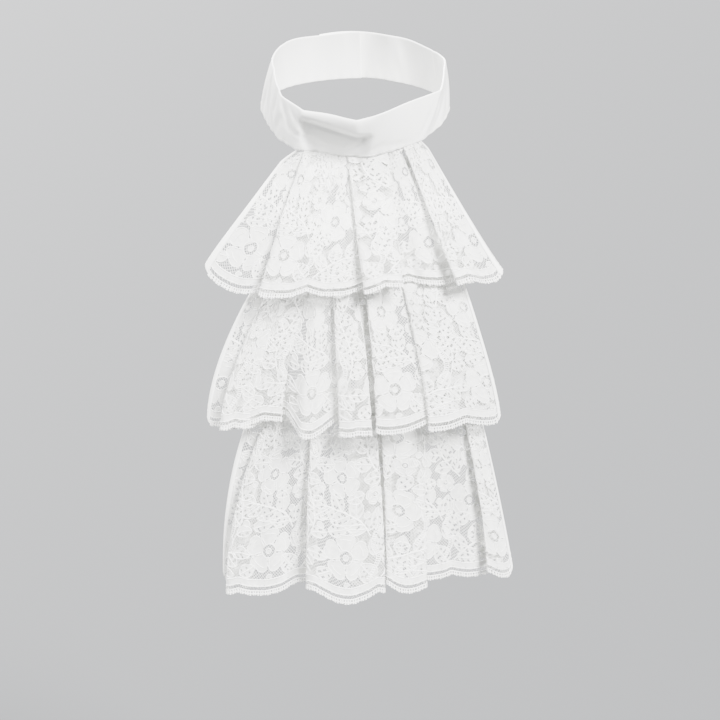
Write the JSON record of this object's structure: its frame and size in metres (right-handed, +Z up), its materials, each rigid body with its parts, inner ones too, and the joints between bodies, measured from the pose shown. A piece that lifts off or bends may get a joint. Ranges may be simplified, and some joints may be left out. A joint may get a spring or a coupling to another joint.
{
  "type": "lace jabot",
  "caption": "White satin neckband with a cascade of pleated floral lace frills falling down the front, worn closed at the nape.",
  "frame": {"origin": "middle of the neckband's ring, on the axis of the neck that wears it", "axes": "+Z up along the standing wearer, -Y out of the front where the frills hang, +X to the wearer's left"},
  "size_m": [0.2371, 0.1691, 0.4196],
  "materials": {
    "satin": "smooth white satin with a soft sheen",
    "closure_tape": "matte white woven hook and loop tape",
    "net": "fine plain white net",
    "lace": "matte white machine lace, solid flowers and leaves on a fine net"
  },
  "bodies": {
    "root": {"neckband": "satin", "closure_hook": "closure_tape", "closure_loop": "closure_tape", "backing": "net", "frill_upper": "lace", "frill_middle": "lace", "frill_lower": "lace"}
  },
  "joints": []
}
